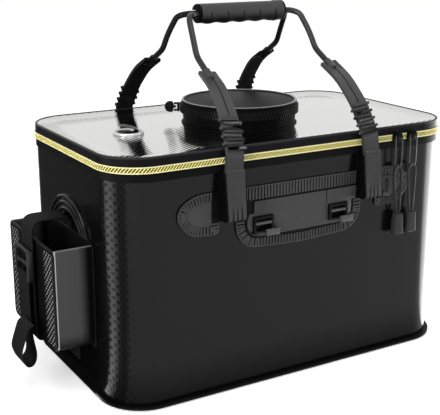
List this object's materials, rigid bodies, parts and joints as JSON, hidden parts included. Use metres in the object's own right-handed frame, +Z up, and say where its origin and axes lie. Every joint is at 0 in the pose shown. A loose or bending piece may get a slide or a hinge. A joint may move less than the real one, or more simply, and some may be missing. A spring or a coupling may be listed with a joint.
{
  "type": "aerated bait bucket",
  "caption": "Soft-wall bait bucket with a zipped lid, a round feeder port, twin swing handles with one grip and a strapped air pump pocket",
  "frame": {"origin": "centre of the underside of the body", "axes": "+X along the bucket, +Z up, the front face looks along -Y and the pump pocket is on -X"},
  "size_m": [0.5929, 0.329, 0.4633],
  "materials": {
    "eva_body": "charcoal welded sheet with a woven carbon look, glossy",
    "eva_lid": "charcoal laminated sheet with a fine diagonal twill, glossy",
    "black_vinyl": "black moulded vinyl, satin",
    "grey_piping": "mid grey extruded piping, satin",
    "light_piping": "light grey extruded piping, glossy",
    "zip_tape": "black woven zip tape",
    "zip_cream": "cream zip edge cord, satin",
    "zip_gold": "gold moulded zip teeth, satin",
    "zip_black": "black moulded zip teeth, satin",
    "port_cover": "dark grey laminated sheet, satin",
    "metal_ring": "bright turned ring",
    "black_rubber": "black moulded rubber, matt",
    "pad_grey": "dark grey welded vinyl pad, satin",
    "plate_grey": "grey moulded plate, satin",
    "leg_grey": "grey moulded nylon, satin",
    "rod_grey": "dark grey smooth sleeve, satin",
    "grip_grey": "grey moulded grip, matt",
    "bracket_black": "black moulded nylon, satin",
    "steel": "plain steel",
    "wire_dark": "black lacquered wire",
    "tag_rubber": "grey moulded rubber, matt",
    "mesh_black": "black open mesh",
    "webbing": "black ribbed webbing",
    "pocket_side": "mid grey laminated sheet, satin"
  },
  "bodies": {
    "root": {"body_shell": "eva_body", "base_welt": "black_vinyl", "body_lip": "black_vinyl", "body_zip_tape": "zip_tape", "body_zip_cord": "zip_cream", "body_zip_teeth": "zip_gold", "hinge_strip_lower": "black_vinyl", "front_pad": "pad_grey", "rear_pad": "pad_grey", "front_pad_ribs": "pad_grey", "rear_pad_ribs": "pad_grey", "front_plate": "plate_grey", "rear_plate": "plate_grey", "front_clips": "bracket_black", "rear_clips": "bracket_black", "front_brackets": "bracket_black", "rear_brackets": "bracket_black", "hinge_pins": "steel", "bracket_rivets": "steel", "pocket_flange": "black_vinyl", "pocket_box": "pocket_side", "pocket_mesh": "mesh_black", "backboard": "black_rubber", "pocket_strap": "webbing", "strap_tail": "webbing", "strap_buckle": "bracket_black"},
    "lid": {"lid_rim": "black_vinyl", "lid_panel": "eva_lid", "lid_piping": "grey_piping", "lid_zip_tape": "zip_tape", "lid_zip_cord": "zip_cream", "lid_zip_teeth": "zip_gold", "hinge_strip_upper": "black_vinyl", "port_collar": "black_vinyl", "port_zip_lower": "zip_black", "port_hinge_lower": "black_vinyl", "hose_ring": "metal_ring", "hose_gasket": "black_rubber"},
    "port_lid": {"port_zip_upper": "zip_black", "port_hinge_upper": "black_vinyl", "port_skirt": "black_vinyl", "port_cover": "port_cover", "port_piping": "light_piping"},
    "port_zip_slider": {"port_slider": "black_vinyl"},
    "port_zip_pull": {"port_pull": "black_vinyl"},
    "hose_cap": {"hose_flap": "black_rubber"},
    "front_handle": {"front_leg_left": "leg_grey", "front_leg_right": "leg_grey", "front_rod": "rod_grey", "grip": "grip_grey"},
    "rear_handle": {"rear_leg_left": "leg_grey", "rear_leg_right": "leg_grey", "rear_rod": "rod_grey"},
    "inner_slider": {"slider_inner": "bracket_black"},
    "outer_slider": {"slider_outer": "bracket_black"},
    "inner_pull": {"stirrup_inner": "wire_dark", "pull_inner": "tag_rubber"},
    "outer_pull": {"stirrup_outer": "wire_dark", "pull_outer": "tag_rubber"}
  },
  "joints": [
    {"name": "lid_hinge", "type": "hinge", "parent": "root", "child": "lid", "pos_m": [0, 0.1489, 0.295], "axis": [-1, 0, 0], "range_deg": [0, 90]},
    {"name": "front_handle_swing", "type": "hinge", "parent": "root", "child": "front_handle", "pos_m": [0, -0.159, 0.229], "axis": [1, 0, 0], "range_deg": [0, 172]},
    {"name": "rear_handle_swing", "type": "hinge", "parent": "root", "child": "rear_handle", "pos_m": [0, 0.159, 0.229], "axis": [-1, 0, 0], "range_deg": [0, 172]},
    {"name": "port_hinge", "type": "hinge", "parent": "lid", "child": "port_lid", "pos_m": [0, 0.0805, 0.326], "axis": [-1, 0, 0], "range_deg": [0, 45]},
    {"name": "port_slider_turn", "type": "hinge", "parent": "lid", "child": "port_zip_slider", "pos_m": [0, 0, 0.326], "axis": [0, 0, 1], "range_deg": [-36, 260]},
    {"name": "port_pull_swing", "type": "hinge", "parent": "port_zip_slider", "child": "port_zip_pull", "pos_m": [-0.07326, 0.0423, 0.326], "axis": [0, 0, 1], "range_deg": [-75, 75]},
    {"name": "hose_flap_hinge", "type": "hinge", "parent": "lid", "child": "hose_cap", "pos_m": [-0.1505, 0, 0.3113], "axis": [0, 1, 0], "range_deg": [-13, 75]},
    {"name": "inner_slider_slide", "type": "slide", "parent": "root", "child": "inner_slider", "axis": [1, 0, 0], "range_m": [-0.018, 0]},
    {"name": "outer_slider_slide", "type": "slide", "parent": "root", "child": "outer_slider", "axis": [1, 0, 0], "range_m": [0, 0.018]},
    {"name": "inner_pull_swing", "type": "hinge", "parent": "inner_slider", "child": "inner_pull", "pos_m": [0.147, -0.15405, 0.298], "axis": [-1, 0, 0], "range_deg": [0, 120]},
    {"name": "outer_pull_swing", "type": "hinge", "parent": "outer_slider", "child": "outer_pull", "pos_m": [0.171, -0.15405, 0.298], "axis": [-1, 0, 0], "range_deg": [0, 120]}
  ],
  "couplings": [
    {"joint": "front_handle_swing", "follows": "lid_hinge", "ratio": 1.9},
    {"joint": "rear_handle_swing", "follows": "lid_hinge", "ratio": 1.9}
  ]
}
